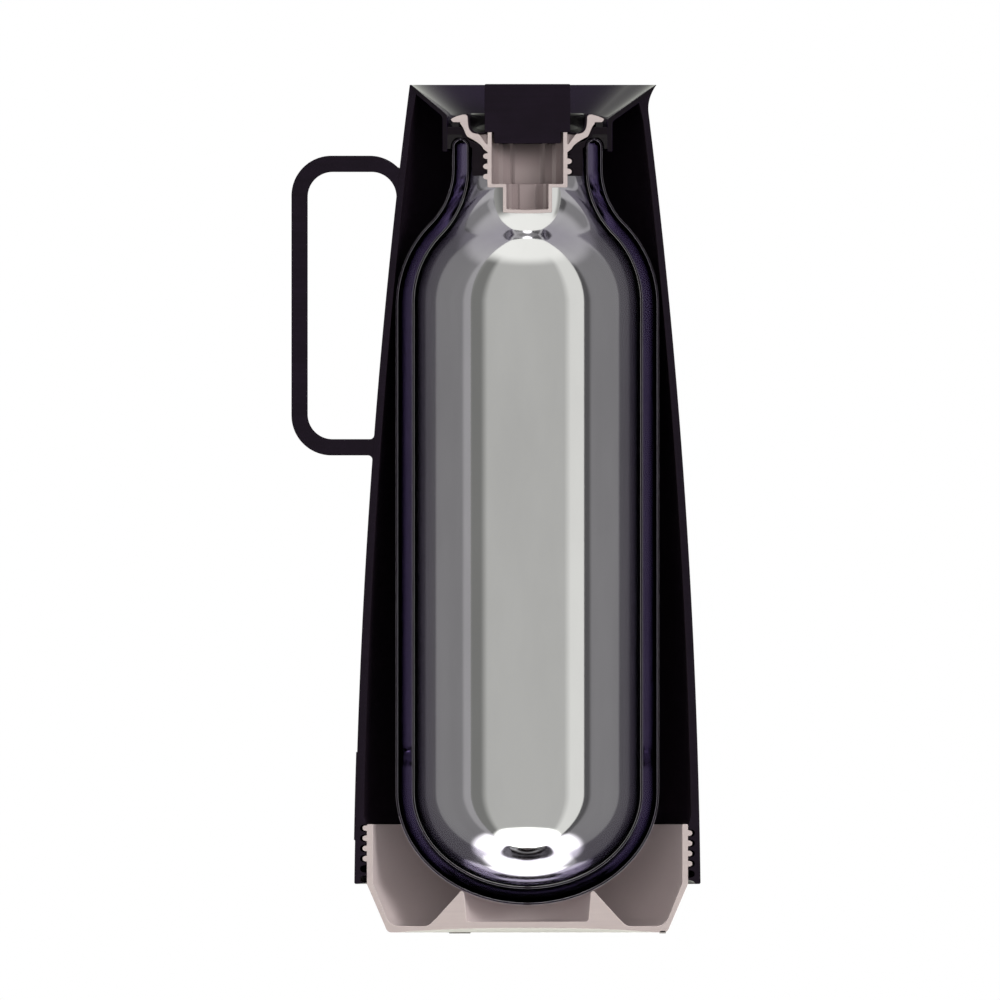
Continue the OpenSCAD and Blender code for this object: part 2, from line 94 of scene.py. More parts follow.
# Corners of a section cut back to small arcs, as a mould's own edges are.
def rounded(points, radius, n=3, sharpest=25):
    out = []
    for i, p in enumerate(points):
        a, b = points[i - 1], points[(i + 1) % len(points)]
        corner = Vector(p)
        toA, toB = Vector(a) - corner, Vector(b) - corner
        if p[0] < onAxis or min(toA.length, toB.length) < 1e-6 or pi - toA.angle(toB) < radians(sharpest):
            out.append(p)
            continue
        back = min(radius, 0.42 * toA.length, 0.42 * toB.length)
        start, end = corner + toA.normalized() * back, corner + toB.normalized() * back
        for k in range(n + 1):
            t = k / n
            q = start * (1 - t) ** 2 + 2 * corner * t * (1 - t) + end * t * t
            out.append((q.x, q.y))
    return out


# Sizes, in millimetres.

jug = {"height": 297, "rimRadius": 41.2, "footRadius": 60.6, "footHeight": 17.3, "bulge": 4,
       "wallTop": 2.2, "wallFoot": 3, "bandThickness": 4.1, "bandHeight": 21.5, "rimEdge": 0.6}
beak = {"out": 3.95, "height": 9.7, "thin": 0.3, "angle": 30, "sink": 1.4}
flask = {"radius": 46.1, "neckRadius": 26.3, "doubleWall": 5.8, "bodyWall": 6.5, "glass": 0.7, "below": 18.7,
         "low": 9.9, "bottomHeight": 39.6, "shoulderRound": 40.7, "neckRound": 27, "neckHeight": 10.7}
funnel = {"bore": 28.1, "depth": 10.5, "thickness": 1.7, "skirt": 1.6, "skirtDepth": 23.3}
# "flank" shapes a tooth's sides, and "runIn" says how steeply a thread's start rises as it turns
threads = {"pitch": 3.57, "half": 1.0, "depth": 1.5, "gap": 0.3, "baseFirst": 24.4, "cupDepth": 15.2,
           "flank": 2.5, "runIn": 40}
# the mouth's stack above the flask's rim: rim gasket, collar flange, then the gasket under the stopper's lip
seals = {"lift": 0.1, "rimThick": 1.3, "flange": 2.5, "lipThick": 1.7, "lipWide": 2.6, "tipGap": 0.6,
         "tipOver": 1, "overBead": 0.7}
cup = {"radius": 14, "rise": 2.1, "knobRadius": 15}
# how finely a piece is turned, its cut's fine edge, how close points are joined, and the angle of a crease
finish = {"steps": 192, "cutEdge": 0.1, "weld": 0.002, "weldClose": 0.0015, "tiny": 0.0005, "crease": 32}

rimZ, footZ = jug["height"], jug["footHeight"]
flaskTop = rimZ - flask["below"]
rimBead = flask["doubleWall"] / 2  # the glass is rounded over the rim at this radius
beadZ, beadR = flaskTop - rimBead, flask["neckRadius"] - rimBead
neckIn = flask["neckRadius"] - flask["doubleWall"]
gasketLow = flaskTop + seals["lift"]
gasketTop = gasketLow + seals["rimThick"]
gasketIn = beadR - seals["overBead"]
flangeTop = gasketTop + seals["flange"]
landZ = flangeTop + seals["lipThick"]
tipR = funnel["bore"] - seals["tipGap"]
sealIn = tipR - seals["tipOver"] - seals["lipWide"]
cupR, cupTop, knobR = cup["radius"], flaskTop + cup["rise"], cup["knobRadius"]
bandBore = jug["footRadius"] - jug["bandThickness"]
gap = threads["gap"]
grooveHalf = threads["half"] + 1.2 * gap  # a female thread is cut a little wider
cupFirst = flaskTop - threads["cupDepth"]
baseR = bandBore - gap
beakZ = rimZ - beak["height"]
bandTop = footZ + jug["bandHeight"]

chord = hypot(jug["footRadius"] - jug["rimRadius"], rimZ - footZ)
sideRound = chord * chord / (8 * jug["bulge"]) + jug["bulge"] / 2
sideBack = (sideRound - jug["bulge"]) / chord
sideCx = (jug["footRadius"] + jug["rimRadius"]) / 2 - sideBack * (rimZ - footZ)
sideCz = (footZ + rimZ) / 2 - sideBack * (jug["footRadius"] - jug["rimRadius"])


def sideR(z):
    return sideCx + sqrt(sideRound ** 2 - (z - sideCz) ** 2)


def side(low, high, n, inset=0.0):
    heights = [low + (high - low) * i / n for i in range(n + 1)]
    return [(sideR(z) - inset, z) for z in heights]


def wallAt(z):
    share = (z - footZ) / (rimZ - footZ)
    return jug["wallFoot"] + (jug["wallTop"] - jug["wallFoot"]) * share


# Geometry Nodes: a section turned through half a turn.
# The section is a ring of points, x its radius and z its height. "beak" says how far a point moves
# in the beak's middle, "inset" how far it draws back at the cut, and "thread" marks a threaded wall.

pointMarks = {"beak": "FLOAT_VECTOR", "inset": "FLOAT_VECTOR", "thread": "FLOAT"}
turnInputs = {
    "Steps": finish["steps"], "From": 0.0, "To": pi, "Cut edge": finish["cutEdge"] * mm,
    "Beak angle": radians(beak["angle"]), "Pitch": threads["pitch"] * mm, "Root radius": 0.05,
    "Depth": 0.0015, "Tooth half": 0.001, "First tooth": 0.02, "Lowest tooth": -2.0, "Highest tooth": 3.0,
    "Run-in turn": -100.0, "Thread low": 0.0, "Thread high": 1.0, "Material": None}
socketKinds = {int: "NodeSocketInt", float: "NodeSocketFloat", type(None): "NodeSocketMaterial"}


def buildTurnTree():
    tree = bpy.data.node_groups.new("section turned half round", "GeometryNodeTree")
    tree.interface.new_socket(name="Geometry", in_out="INPUT", socket_type="NodeSocketGeometry")
    for name, value in turnInputs.items():
        socket = tree.interface.new_socket(name=name, in_out="INPUT", socket_type=socketKinds[type(value)])
        if value is not None:
            socket.default_value = value
    tree.interface.new_socket(name="Geometry", in_out="OUTPUT", socket_type="NodeSocketGeometry")
    given = addNode(tree, "NodeGroupInput").outputs

    # A grid: one column for each point of the section and one back to the first, one row for each step.
    size = addNode(tree, "GeometryNodeAttributeDomainSize", [given["Geometry"]])
    columns = addNode(tree, "ADD", [size.outputs["Point Count"], 1.0])
    rows = addNode(tree, "ADD", [given["Steps"], 1.0])
    grid = addNode(tree, "GeometryNodeMeshGrid", {"Vertices X": columns, "Vertices Y": rows})
    index = addNode(tree, "GeometryNodeInputIndex")
    across = addNode(tree, "DIVIDE", [index, rows])
    column = addNode(tree, "FLOOR", [across])
    row = addNode(tree, "MODULO", [index, rows])
    point = addNode(tree, "MODULO", [column, size.outputs["Point Count"]])
    fields = {"place": (addNode(tree, "GeometryNodeInputPosition"), "FLOAT_VECTOR")}
    for name, kind in pointMarks.items():
        field = addNode(tree, "GeometryNodeInputNamedAttribute", {"Name": name}, data_type=kind)
        fields[name] = (field, kind)
    sampled = {}
    for name, (field, kind) in fields.items():
        source = {"Geometry": given["Geometry"], "Index": point}
        sampled[name] = addNode(tree, "GeometryNodeSampleIndex", source, data_type=kind, domain="POINT")
        tree.links.new(field.outputs[0], sampled[name].inputs["Value"])
    at = addNode(tree, "ShaderNodeSeparateXYZ", [sampled["place"]])

    # The first and last rows are the cut's edges; the rows next to them stand one edge width inside.
    nearLast = addNode(tree, "SUBTRACT", [given["Steps"], 2.0])
    before = addNode(tree, "SUBTRACT", [row, 1.0])
    along = addNode(tree, "DIVIDE", [before, nearLast], use_clamp=True)
    isFirst = addNode(tree, "LESS_THAN", [row, 0.5])
    lastGap = addNode(tree, "SUBTRACT", [given["Steps"], 0.5])
    isLast = addNode(tree, "GREATER_THAN", [row, lastGap])
    atCut = addNode(tree, "ADD", [isFirst, isLast])
    notCut = addNode(tree, "SUBTRACT", [1.0, atCut])
    slope = addNode(tree, "DIVIDE", [given["Cut edge"], at.outputs["X"]])
    slopeMost = addNode(tree, "MINIMUM", [slope, 0.9])
    edgeTurn = addNode(tree, "ARCSINE", [slopeMost])
    inward = addNode(tree, "MULTIPLY", [edgeTurn, notCut])
    first = addNode(tree, "ADD", [given["From"], inward])
    last = addNode(tree, "SUBTRACT", [given["To"], inward])
    turn = addNode(tree, "ShaderNodeMix", {0: along, 2: first, 3: last}, data_type="FLOAT",
                   clamp_factor=False)

    # The beak: full in its middle, fading as a squared cosine.
    beakShare = addNode(tree, "DIVIDE", [turn, given["Beak angle"]], use_clamp=True)
    beakTurn = addNode(tree, "MULTIPLY", [beakShare, pi / 2])
    beakCos = addNode(tree, "COSINE", [beakTurn])
    beakAt = addNode(tree, "POWER", [beakCos, 2.0])
    beakMove = addNode(tree, "ShaderNodeVectorMath", {0: sampled["beak"], 3: beakAt}, operation="SCALE")
    insetMove = addNode(tree, "ShaderNodeVectorMath", {0: sampled["inset"], 3: atCut}, operation="SCALE")
    shift = addNode(tree, "ShaderNodeVectorMath", [beakMove, insetMove], operation="ADD")
    stood = addNode(tree, "ShaderNodeVectorMath", [sampled["place"], shift], operation="ADD")
    plain = addNode(tree, "ShaderNodeSeparateXYZ", [stood])

    # The thread: its rows climb with the turn, and the wall's radius follows the nearest tooth.
    turns = addNode(tree, "DIVIDE", [turn, 2 * pi])
    climb = addNode(tree, "MULTIPLY", [turns, given["Pitch"]])
    climbed = addNode(tree, "ADD", [climb, at.outputs["Z"]])
    kept = addNode(tree, "ShaderNodeClamp", [climbed, given["Thread low"], given["Thread high"]])
    above = addNode(tree, "SUBTRACT", [kept, given["First tooth"]])
    unclimbed = addNode(tree, "SUBTRACT", [above, climb])
    phase = addNode(tree, "DIVIDE", [unclimbed, given["Pitch"]])
    nearest = addNode(tree, "ROUND", [phase])
    tooth = addNode(tree, "ShaderNodeClamp", [nearest, given["Lowest tooth"], given["Highest tooth"]])
    # the lowest tooth starts where the thread's own turn has passed the run-in
    ownTurn = addNode(tree, "ADD", [tooth, turns])
    pastStart = addNode(tree, "SUBTRACT", [ownTurn, given["Run-in turn"]])
    runIn = addNode(tree, "MULTIPLY", [pastStart, float(threads["runIn"])], use_clamp=True)
    off = addNode(tree, "SUBTRACT", [phase, tooth])
    offAway = addNode(tree, "ABSOLUTE", [off])
    offLength = addNode(tree, "MULTIPLY", [offAway, given["Pitch"]])
    offShare = addNode(tree, "DIVIDE", [offLength, given["Tooth half"]], use_clamp=True)
    fall = addNode(tree, "POWER", [offShare, threads["flank"]])
    left = addNode(tree, "SUBTRACT", [1.0, fall])
    full = addNode(tree, "SQRT", [left])
    height = addNode(tree, "MULTIPLY", [full, runIn])
    threadR = addNode(tree, "MULTIPLY_ADD", [height, given["Depth"], given["Root radius"]])
    radius = addNode(tree, "ShaderNodeMix", {0: sampled["thread"], 2: plain.outputs["X"], 3: threadR},
                     data_type="FLOAT")
    level = addNode(tree, "ShaderNodeMix", {0: sampled["thread"], 2: plain.outputs["Z"], 3: kept},
                    data_type="FLOAT")

    turnCos = addNode(tree, "COSINE", [turn])
    turnSin = addNode(tree, "SINE", [turn])
    x = addNode(tree, "MULTIPLY", [radius, turnCos])
    y = addNode(tree, "MULTIPLY", [radius, turnSin])
    spot = addNode(tree, "ShaderNodeCombineXYZ", [x, y, level])
    placed = addNode(tree, "GeometryNodeSetPosition", {"Geometry": grid, "Position": spot})
    weld = finish["weld"] * mm
    merged = addNode(tree, "GeometryNodeMergeByDistance", {"Geometry": placed, "Distance": weld})
    real = addNode(tree, "GeometryNodeRealizeInstances", [merged])
    painted = addNode(tree, "GeometryNodeSetMaterial", {"Geometry": real, "Material": given["Material"]})
    addNode(tree, "NodeGroupOutput", [painted])
    return tree


turnTree = buildTurnTree()


# The closed ring of points that the tree turns, with its marks.
def sectionMesh(name, points, beakMoves, threadMarks):
    count = len(points)
    mesh = bpy.data.meshes.new(name)
    ringEdges = [(i, (i + 1) % count) for i in range(count)]
    mesh.from_pydata([(r * mm, 0, z * mm) for r, z in points], ringEdges, [])
    area = sum(points[i - 1][0] * points[i][1] - points[i][0] * points[i - 1][1] for i in range(count))
    facing = 1 if area > 0 else -1
    edge = finish["cutEdge"] * mm
    for mark, kind in pointMarks.items():
        mesh.attributes.new(mark, kind, "POINT")
    beakMark, insetMark, threadMark = [mesh.attributes[mark] for mark in pointMarks]
    for i in range(count):
        a, p, b = points[i - 1], points[i], points[(i + 1) % count]
        normal = Vector((0, 0))
        for s, e in ((a, p), (p, b)):
            run = Vector((e[0] - s[0], e[1] - s[1]))
            if run.length > 1e-6:
                run.normalize()
                normal += Vector((-run.y, run.x)) * facing
        if normal.length > 1e-6 and p[0] > onAxis:
            normal.normalize()
            insetMark.data[i].vector = (normal.x * edge, 0, normal.y * edge)
        move = beakMoves.get(i, (0, 0))
        beakMark.data[i].vector = (move[0] * mm, 0, move[1] * mm)
        threadMark.data[i].value = threadMarks.get(i, 0.0)
    return mesh


# Any piece's last steps: closed ends, outward faces, the sawn face's own material, crisp edges.
def closeUp(obj, cutMaterial, crease=finish["crease"]):
    mesh = obj.data
    bm = bmesh.new()
    bm.from_mesh(mesh)
    bmesh.ops.remove_doubles(bm, verts=bm.verts, dist=finish["weldClose"] * mm)
    bmesh.ops.dissolve_degenerate(bm, dist=finish["tiny"] * mm, edges=bm.edges)
    bmesh.ops.delete(bm, geom=[e for e in bm.edges if e.is_wire], context="EDGES")
    bmesh.ops.delete(bm, geom=[v for v in bm.verts if not v.link_faces], context="VERTS")
    bmesh.ops.holes_fill(bm, edges=[e for e in bm.edges if e.is_boundary], sides=0)
    bmesh.ops.recalc_face_normals(bm, faces=bm.faces)
    mesh.materials.append(cutMaterial)
    for face in bm.faces:
        face.normal_update()
        isCut = face.normal.y < -0.99 and max(abs(v.co.y) for v in face.verts) < 0.01 * mm
        face.smooth = not isCut
        if isCut:
            face.material_index = len(mesh.materials) - 1
    bm.to_mesh(mesh)
    openEdges = sum(1 for e in bm.edges if not e.is_manifold)
    volume = bm.calc_volume(signed=True)
    bm.free()
    mesh.set_sharp_from_angle(angle=radians(crease))
    print(f"  {obj.name}: {len(mesh.polygons)} faces, {openEdges} open edges, {volume * 1e9:.0f} mm3")
    return obj


def toPlainMesh(obj, name):
    bpy.context.view_layer.update()
    evaluated = obj.evaluated_get(bpy.context.evaluated_depsgraph_get())
    mesh = bpy.data.meshes.new_from_object(evaluated)
    mesh.name = name
    bpy.data.objects.remove(obj)
    return newObject(name, mesh)


def turnedPiece(name, points, material, cutMaterial, beakMoves=None, threadMarks=None, **sizes):
    mesh = sectionMesh(name, points, beakMoves or {}, threadMarks or {})
    obj = newObject(name + " section", mesh)
    modifier = obj.modifiers.new("turned", "NODES")
    modifier.node_group = turnTree
    values = {"Material": material, **sizes}
    for item in turnTree.interface.items_tree:
        if item.in_out == "INPUT" and item.name in values:
            modifier[item.identifier] = values[item.name]
    return closeUp(toPlainMesh(obj, name), cutMaterial)


# A piece with a thread on one straight wall, and the rest of its section before and after that wall.
def threadedPiece(name, section, materials, half, first, low, high, beakMoves=None, **sizes):
    before, wall, after = section
    marks = {i: 1.0 for i in range(len(before), len(before) + len(wall))}
    thread = {"Root radius": wall[0][0] * mm, "Depth": threads["depth"] * mm, "Tooth half": half * mm,
              "First tooth": first * mm, "Thread low": low * mm, "Thread high": high * mm, **sizes}
    return turnedPiece(name, before + wall + after, *materials, beakMoves, marks, **thread)


# Heights at which a threaded wall is sampled: close together over each tooth.
def threadRows(first, teeth, low, high, half):
    offsets = [-1, -0.97, -0.9, -0.78, -0.6, -0.35, 0, 0.35, 0.6, 0.78, 0.9, 0.97, 1]
    rows = [first + threads["pitch"] * k + half * o for k in teeth for o in offsets]
    climb = threads["pitch"] / 2
    return [z for z in rows if low - climb < z < high]


# Materials.

# what each finish shows, in millimetres
materialSizes = {"cloud": 14.0, "sawnCloud": 11.0, "silverCloud": 26.0, "sawPitch": 0.9, "satinGrain": 0.35,
                 "innerGrain": 0.8, "glossRipple": 1.2, "siliconeGrain": 0.5, "mauveGrain": 0.6,
                 "rubberGrain": 0.5}


# Noise at a real size: the scale says how many features fit in a metre.
def grainAt(tree, spacing, detail=3.0, stretch=(1, 1, 1)):
    spot = addNode(tree, "ShaderNodeTexCoord").outputs["Object"]
    mapped = addNode(tree, "ShaderNodeMapping", {"Vector": spot, "Scale": stretch})
    return addNode(tree, "ShaderNodeTexNoise", {
        "Vector": mapped, "Scale": 1 / (spacing * mm), "Detail": detail, "Roughness": 0.55})


def newMaterial(name, **sockets):
    material = bpy.data.materials.new(name)
    material.use_nodes = True
    tree = material.node_tree
    surface = tree.nodes["Principled BSDF"]
    for socket, value in sockets.items():
        surface.inputs[socket.replace("_", " ")].default_value = value
    return material, tree, surface


# The colour drifts between two close tones, and the polish follows a pattern that may also stand in relief.
def finishSurface(tree, surface, tones, share, pattern, spread, polish, relief=None):
    colour = addNode(tree, "ShaderNodeMix", {0: share, 6: toLinear(tones[0]), 7: toLinear(tones[1])},
                     data_type="RGBA")
    tree.links.new(colour.outputs[2], surface.inputs["Base Color"])
    rough = addNode(tree, "ShaderNodeMapRange", [pattern, *spread, *polish])
    tree.links.new(rough.outputs[0], surface.inputs["Roughness"])
    if relief:
        raised = {"Strength": relief[0], "Distance": relief[1] * mm, "Height": pattern}
        lift = addNode(tree, "ShaderNodeBump", raised)
        tree.links.new(lift.outputs[0], surface.inputs["Normal"])


# Moulded plastic: soft clouds of colour, an uneven polish, and a fine grain.
def mouldedPlastic(name, low, high, rough, grain, bump, shine, roughSpread=0.06, **sockets):
    material, tree, surface = newMaterial(name, Specular_IOR_Level=shine, **sockets)
    fine = grainAt(tree, materialSizes[grain], detail=2.0)
    finishSurface(tree, surface, (low, high), grainAt(tree, materialSizes["cloud"]), fine, (0.3, 0.7),
                  (rough - roughSpread, rough + roughSpread), (bump, 0.04))
    return material


# A sawn and polished face: the same plastic with faint level saw lines.
def sawnPlastic(name, low, high, rough, shine):
    material, tree, surface = newMaterial(name, Specular_IOR_Level=shine)
    lines = grainAt(tree, materialSizes["sawPitch"], detail=2.0, stretch=(0.03, 1, 1))
    clouds = grainAt(tree, materialSizes["sawnCloud"])
    both = addNode(tree, "MULTIPLY", [lines, clouds])
    share = addNode(tree, "ShaderNodeMapRange", [both, 0.12, 0.4])
    finishSurface(tree, surface, (low, high), share, lines, (0.3, 0.7), (rough - 0.07, rough + 0.07),
                  (0.12, 0.03))
    return material


# Silver laid on glass: a mirror a little uneven in tone, and the more blurred the flatter it is seen.
def silvered(name, low, high, rough, roughEdge, edgeTint):
    material, tree, surface = newMaterial(name, Metallic=1.0, Specular_Tint=(*edgeTint, 1))
    clouds = grainAt(tree, materialSizes["silverCloud"], detail=4.0, stretch=(1, 1, 0.35))
    share = addNode(tree, "ShaderNodeMapRange", [clouds, 0.35, 0.65])
    flat = addNode(tree, "ShaderNodeLayerWeight", {"Blend": 0.5}).outputs["Facing"]
    finishSurface(tree, surface, (low, high), share, flat, (0.12, 0.5), (rough, roughEdge))
    return material


blackSatin = mouldedPlastic(    # injection-moulded polypropylene: near black, soft sheen, fine orange peel
    "black polypropylene, satin moulded", "#120c13", "#1a131b", 0.45, "satinGrain", 0.25, shine=0.12)
blackInnerPaintedLighter = mouldedPlastic(    # the wall's inside, off an unpolished core: dull, and painted far lighter and more violet than the outer skin as painted light in the shell's shade
    "black polypropylene, inner skin painted lighter", "#4a3848", "#574356", 0.6, "innerGrain", 0.3, shine=0.2)
blackSawn = sawnPlastic(        # the sawn wall: as dark as the moulded skin, flatter and more even
    "black polypropylene, sawn and polished", "#120c14", "#160f19", 0.45, shine=0.06)
blackGloss = mouldedPlastic(    # polished mould: deep black with clear highlights
    "black polypropylene, gloss moulded", "#0d080d", "#120c12", 0.13, "glossRipple", 0.06, shine=0.35)
funnelPlastic = mouldedPlastic(  # glossy and dark violet, so that it is pale only where it mirrors the studio
    "black polypropylene, polished funnel", "#1b1323", "#21182a", 0.12, "glossRipple", 0.05, shine=0.32,
    roughSpread=0.03, Specular_Tint=(0.97, 0.9, 1.0, 1))
funnelSawn = sawnPlastic(       # the funnel's cut: darker than its polished face
    "black polypropylene, sawn funnel", "#0f0b10", "#130e14", 0.45, shine=0.06)
collarSawn = sawnPlastic(       # glass-filled, so the cut is duller than the shell's
    "black glass-filled polypropylene, sawn", "#0f0a0f", "#130e13", 0.5, shine=0.06)
siliconeBlack = mouldedPlastic(  # silicone rubber: matte black, slightly dusty
    "black silicone rubber, moulded", "#0b080b", "#120e12", 0.62, "siliconeGrain", 0.3, shine=0.2)
mauvePlastic = mouldedPlastic(  # filled polypropylene: warm mauve, semi-gloss
    "mauve polypropylene, moulded", "#cdbfbe", "#d3c6c4", 0.34, "mauveGrain", 0.12, shine=0.35)
cupPlasticPaintedShade = mouldedPlastic(    # the cup: the base's mauve painted darker, as painted shade inside the cup
    "mauve polypropylene, painted darker for shade", "#807373", "#887b7a", 0.34, "mauveGrain", 0.12, shine=0.35)
mauveSawn = sawnPlastic(        # the sawn wall: greyer, duller and more even than the moulded skin
    "mauve polypropylene, sawn and polished", "#ada19f", "#b3a7a4", 0.45, shine=0.12)
silverInside = silvered(        # seen through the glass from the drink's side: calm, faintly violet mirror
    "silvered glass, drink side", "#b3b1b7", "#b9b7bd", 0.05, 0.08, (0.62, 0.6, 0.66))
silverOutside = silvered(       # the vacuum side: bare silver, more violet and a little more blurred
    "silvered glass, vacuum side", "#b3aebd", "#b9b4c3", 0.07, 0.09, (0.68, 0.65, 0.74))
glassSawn = sawnPlastic(        # a cut glass wall end on: dark, because its light is trapped by the silver
    "clear glass, cut edge", "#120d14", "#19131b", 0.25, shine=0.05)
footRubber = mouldedPlastic(    # thermoplastic rubber: mid grey, matte
    "grey rubber, moulded", "#8a8582", "#938d8a", 0.7, "rubberGrain", 0.3, shine=0.2)
footSawn = sawnPlastic(         # its cut: the same grey, a little smoother
    "grey rubber, sawn", "#8a8582", "#918c88", 0.7, shine=0.1)
print("materials made")


# Outer shell.

def rimOut(z, full=1.0):
    return sideR(z) + beak["out"] * full * (max(0.0, z - beakZ) / beak["height"]) ** 2


# The funnel's outer edge, from the rim down: plain, and in the beak's middle.
def funnelEdge(full):
    low = rimZ - funnel["thickness"] * (1 + full)
    thick = jug["rimEdge"] - beak["thin"] * full
    heights = [rimZ - (rimZ - low) * i / 3 for i in range(4)]
    return [(rimOut(z, full) - thick, z) for z in heights]


def funnelInZ(full):
    return rimZ - funnel["depth"] - beak["sink"] * full


def funnelSlope(full):
    return (rimZ - funnelInZ(full)) / (funnelEdge(full)[0][0] - funnel["bore"])


def underZ(full, r):
    edgeR, edgeZ = funnelEdge(full)[-1]
    return edgeZ - (edgeR - r) * funnelSlope(full)


def beakPoints(plain, full):
    return {i: (f[0] - p[0], f[1] - p[1]) for i, (p, f) in enumerate(zip(plain, full))}


def shellSection(full):
    rows = threadRows(threads["baseFirst"], range(-2, 5), footZ, bandTop - 0.3, grooveHalf)
    inR, innerTop = jug["rimRadius"] - jug["wallTop"], beakZ - 3
    beakRows = [beakZ + beak["height"] * i / 10 for i in range(1, 11)]
    innerRows = [innerTop - (innerTop - bandTop - 2.5) * i / 40 for i in range(41)]
    outer = side(footZ + 0.4, beakZ, 44) + [(rimOut(z, full), z) for z in beakRows]
    seat = funnelEdge(full) + [(inR, underZ(full, inR))]
    inner = [(sideR(z) - wallAt(z), z) for z in innerRows] + [(bandBore, bandTop)]
    wall = [(bandBore, z) for z in reversed(rows)]
    return outer + seat + inner, wall, [(jug["footRadius"] - 0.4, footZ)]


def makeShell():
    plain, full = shellSection(0), shellSection(1)
    moves = beakPoints(sum(plain, []), sum(full, []))
    return threadedPiece("outerShell", plain, (blackSatin, blackSawn), grooveHalf, threads["baseFirst"],
                         footZ, bandTop - 0.3, moves, Depth=(threads["depth"] + 2 * gap) * mm)


# Gives the faces that are chosen by their centre and normal a material of their own.
def paintFaces(piece, material, chosen):
    piece.data.materials.append(material)
    index = len(piece.data.materials) - 1
    for polygon in piece.data.polygons:
        if polygon.material_index == 0 and chosen(polygon.center, polygon.normal):
            polygon.material_index = index


# The wall's inside has its own duller skin, painted lighter to lift its shade.
def isInnerSkin(c, n):
    return n.x * c.x + n.y * c.y < 0


shell = makeShell()
# painted light: the shell's inward faces take the black painted lighter
paintFaces(shell, blackInnerPaintedLighter, isInnerSkin)
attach(shell, "jug")
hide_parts("outer_shell")
print("outer shell made")


# Badge plate: a bare raised pad on the shell.

badge = {"low": 32.7, "height": 30.8, "angle": 12, "proud": 0.35, "corner": 0.2}


def makeBadge():
    low, high = badge["low"], badge["low"] + badge["height"]
    outer, inner = side(low, high, 8, -badge["proud"]), side(low, high, 8)
    ring = rounded(outer + list(reversed(inner)), badge["corner"])
    start = radians(180 - badge["angle"])
    return turnedPiece("badgePlate", ring, blackSatin, blackSawn, Steps=24, From=start)


badgePlate = makeBadge()
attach(badgePlate, "jug")
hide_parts("badge_plate")


# Pouring funnel.

def funnelSection(full):
    bore, skirtOut = funnel["bore"], funnel["bore"] + funnel["skirt"]
    low, top, slope = rimZ - funnel["skirtDepth"], funnelInZ(full), funnelSlope(full)
    skirt = [(bore, low + 0.2), (bore + 0.2, low), (skirtOut - 0.2, low), (skirtOut, low + 0.2),
             (skirtOut, underZ(full, skirtOut) - 0.5), (skirtOut + 0.5, underZ(full, skirtOut + 0.5))]
    rim = [(r - 0.02, z) for r, z in reversed(funnelEdge(full))]
    throat = [(bore + 1.0, top + slope), (bore + 0.45, top + 0.35 * slope), (bore + 0.12, top - 0.1),
              (bore, top - 0.5)]
    return skirt + rim + throat


def makeFunnel():
    plain, full = funnelSection(0), funnelSection(1)
    return turnedPiece("pouringFunnel", plain, funnelPlastic, funnelSawn, beakPoints(plain, full))


pouringFunnel = makeFunnel()
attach(pouringFunnel, "jug")
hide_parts("pouring_funnel")


# Stopper lip, and the collar under it.

lip = {"footDepth": 3.7, "crest": 7.4, "top": 8.35, "roll": 1.6, "hollow": 2.4}
collar = {"sleeveGap": 1.2, "sleeveDepth": 13.2, "liftGap": 0.3}
lipFoot = (cupR + threads["depth"], flaskTop - lip["footDepth"])
lipWaist = (neckIn + 0.1, flaskTop + 0.1)
lipLand = (sealIn - 0.4, landZ - 0.6)
lipUnder = bend(lipFoot, lipWaist, (0.16, 0.79), (0.72, 0.58)) \
    + bend(lipWaist, lipLand, (0.47, 0.41), (0.6, 0.86))[1:]
lipCrest = (neckIn + 0.4, flaskTop + lip["crest"])
lipHollow = (knobR + lip["hollow"], cupTop - 0.5)
lipRoll = bend((lipCrest[0] + lip["roll"], flaskTop + lip["top"]), lipCrest, (0.6, 0), (1, 0.4), 8)
lipInner = bend(lipCrest, lipHollow, (0.05, 0.5), (0, 1))


def makeCollar():
    bore, outR = cupR + gap, neckIn - collar["sleeveGap"]
    low = flaskTop - collar["sleeveDepth"]
    lowered = moved(lipUnder, collar["liftGap"], -collar["liftGap"])
    entryZ = lipFoot[1] - collar["liftGap"] - 0.75 * threads["depth"]
    body = [(outR - 0.3, low), (outR, low + 0.3), (outR, beadZ - 0.5)] \
        + arc(beadR, beadZ, rimBead + 0.4, 180, 110) \
        + [(gasketIn, gasketLow), (gasketIn, gasketTop), (funnel["bore"], gasketTop),
           (funnel["bore"], flangeTop - 0.2), (funnel["bore"] - 0.2, flangeTop), (sealIn - 0.3, flangeTop)] \
        + [p for p in reversed(lowered) if p[1] < flangeTop - 0.1] + [(bore, entryZ)]
    rows = threadRows(cupFirst, range(-1, 5), low, entryZ - 0.2, grooveHalf)
    wall = [(bore, z) for z in reversed(rows)]
    return threadedPiece("neckCollar", (body, wall, []), (blackSatin, collarSawn), grooveHalf, cupFirst,
                         low, entryZ - 0.2)


neckCollar = makeCollar()
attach(neckCollar, "jug")
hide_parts("neck_collar")


# Gaskets.

rimSeal = {"width": 1.3, "depth": 5.1, "round": 0.2, "startTurn": 68}


def makeRimGasket():
    outR, low, soft = funnel["bore"], gasketTop - rimSeal["depth"], rimSeal["round"]
    inR = outR - rimSeal["width"]
    ring = [(gasketIn, gasketLow)] + arc(beadR, beadZ, inR - beadR, rimSeal["startTurn"], 0) \
        + [(inR, low + soft), (inR + soft, low), (outR - soft, low), (outR, low + soft),
           (outR, gasketTop), (gasketIn, gasketTop)]
    return turnedPiece("rimGasket", ring, siliconeBlack, siliconeBlack)


def makeStopperGasket():
    sealOut = sealIn + seals["lipWide"]
    ring = rounded([(sealIn, flangeTop), (sealOut, flangeTop), (sealOut, landZ), (sealIn, landZ)], 0.3)
    return turnedPiece("stopperGasket", ring, siliconeBlack, siliconeBlack)


rimGasket = makeRimGasket()
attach(rimGasket, "jug")
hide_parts("rim_gasket")
stopperGasket = makeStopperGasket()
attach(stopperGasket, "stopper_seal")
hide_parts("stopper_gasket")
print("funnel, collar and gaskets made")


# Flask: two silvered glass vessels, fused at the rim.

